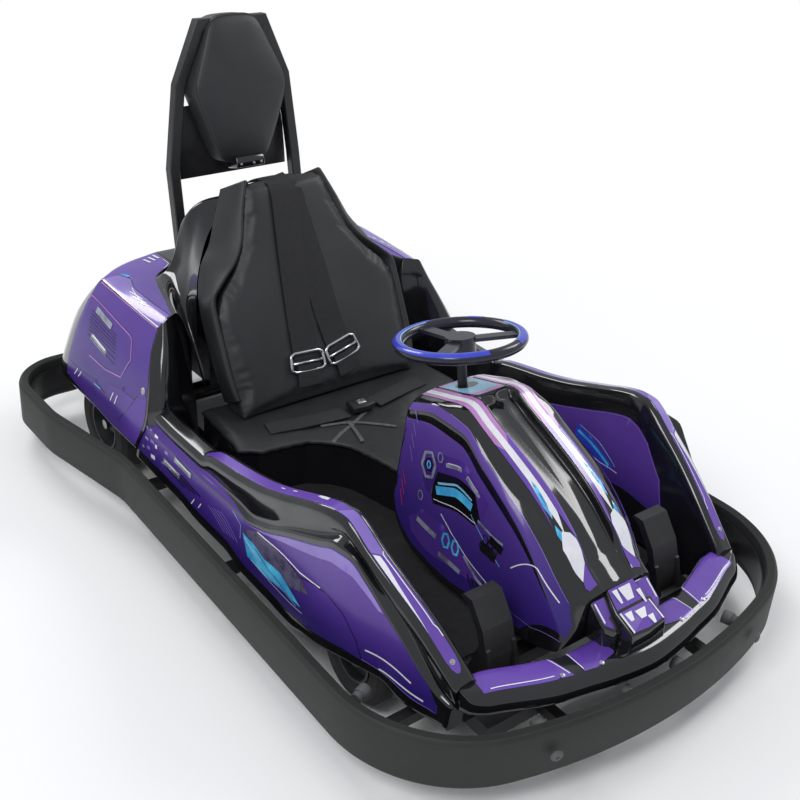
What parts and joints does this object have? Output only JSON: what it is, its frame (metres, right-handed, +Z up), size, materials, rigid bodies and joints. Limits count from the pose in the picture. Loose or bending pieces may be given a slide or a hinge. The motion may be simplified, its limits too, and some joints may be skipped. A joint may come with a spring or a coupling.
{
  "type": "augmented reality go-kart",
  "caption": "Electric amusement kart with a rubber bumper belt, hip-high body, padded seat with headrest hoop, steered front wheels and a live rear axle.",
  "frame": {"origin": "on the ground under the centre of the bumper belt", "axes": "+X forward, +Y to the driver's left, +Z up"},
  "size_m": [1.868, 1.224, 1.1293],
  "materials": {
    "axle_steel": "satin",
    "battery_case": "matte",
    "belt_rubber": "matte",
    "body_black": "gloss",
    "body_violet": "gloss",
    "floor_mat": "matte",
    "frame_black": "satin",
    "motor_case": "satin",
    "pedal_plastic": "satin",
    "rim_grey": "satin",
    "seat_leather": "satin",
    "tyre_rubber": "matte",
    "webbing": "matte",
    "wheel_gloss": "gloss"
  },
  "bodies": {
    "kart": {"axle_carriers": "frame_black", "battery_pack": "battery_case", "bumper_belt": "belt_rubber", "bumper_rail": "frame_black", "centre_fairing": "body_violet", "chassis_frame": "frame_black", "column_bracket": "frame_black", "drive_motor": "motor_case", "floor_pan": "floor_mat", "front_lip": "body_black", "haunch_left": "body_violet", "haunch_right": "body_violet", "headrest": "seat_leather", "headrest_frame": "frame_black", "headrest_plate": "frame_black", "lap_belt_left": "webbing", "lap_belt_right": "webbing", "nose_cap": "body_violet", "pedal_accelerator": "pedal_plastic", "pedal_brake": "pedal_plastic", "rear_deck": "body_black", "seat_backrest": "seat_leather", "seat_base": "body_black", "seat_bolster_left": "seat_leather", "seat_bolster_right": "seat_leather", "seat_bucket": "body_black", "seat_cushion": "seat_leather", "shoulder_strap_left": "webbing", "shoulder_strap_right": "webbing", "side_body_left": "body_violet", "side_body_right": "body_violet"},
    "steering": {"steering_column": "frame_black", "steering_wheel": "wheel_gloss"},
    "track_rod": {"tie_rod": "axle_steel"},
    "rear_axle_set": {"rear_axle": "axle_steel", "rear_tyre_left": "tyre_rubber", "rear_tyre_right": "tyre_rubber", "rear_rim_left": "rim_grey", "rear_rim_right": "rim_grey"},
    "knuckle_left_body": {"knuckle_left": "axle_steel"},
    "front_wheel_left": {"front_tyre_left": "tyre_rubber", "front_rim_left": "rim_grey"},
    "knuckle_right_body": {"knuckle_right": "axle_steel"},
    "front_wheel_right": {"front_tyre_right": "tyre_rubber", "front_rim_right": "rim_grey"}
  },
  "joints": [
    {"name": "steering_turn", "type": "hinge", "parent": "kart", "child": "steering", "pos_m": [0.216, 0, 0.607], "axis": [-0.2079, 0, 0.9781], "range_deg": [-60, 60]},
    {"name": "track_rod_slide", "type": "slide", "parent": "kart", "child": "track_rod", "axis": [0, 1, 0], "range_m": [-0.03, 0.03]},
    {"name": "rear_axle_spin", "type": "hinge", "parent": "kart", "child": "rear_axle_set", "pos_m": [-0.6, 0, 0.125], "axis": [0, 1, 0], "continuous": true},
    {"name": "knuckle_left_steer", "type": "hinge", "parent": "kart", "child": "knuckle_left_body", "pos_m": [0.47, 0.38, 0.105], "axis": [0, 0, 1], "range_deg": [-22, 22]},
    {"name": "front_wheel_left_spin", "type": "hinge", "parent": "knuckle_left_body", "child": "front_wheel_left", "pos_m": [0.47, 0.424, 0.105], "axis": [0, 1, 0], "continuous": true},
    {"name": "knuckle_right_steer", "type": "hinge", "parent": "kart", "child": "knuckle_right_body", "pos_m": [0.47, -0.38, 0.105], "axis": [0, 0, 1], "range_deg": [-22, 22]},
    {"name": "front_wheel_right_spin", "type": "hinge", "parent": "knuckle_right_body", "child": "front_wheel_right", "pos_m": [0.47, -0.424, 0.105], "axis": [0, 1, 0], "continuous": true}
  ],
  "couplings": [
    {"joint": "track_rod_slide", "follows": "steering_turn", "m_per_rad": -0.026667},
    {"joint": "knuckle_left_steer", "follows": "steering_turn", "ratio": 0.33333},
    {"joint": "knuckle_right_steer", "follows": "steering_turn", "ratio": 0.33333}
  ]
}
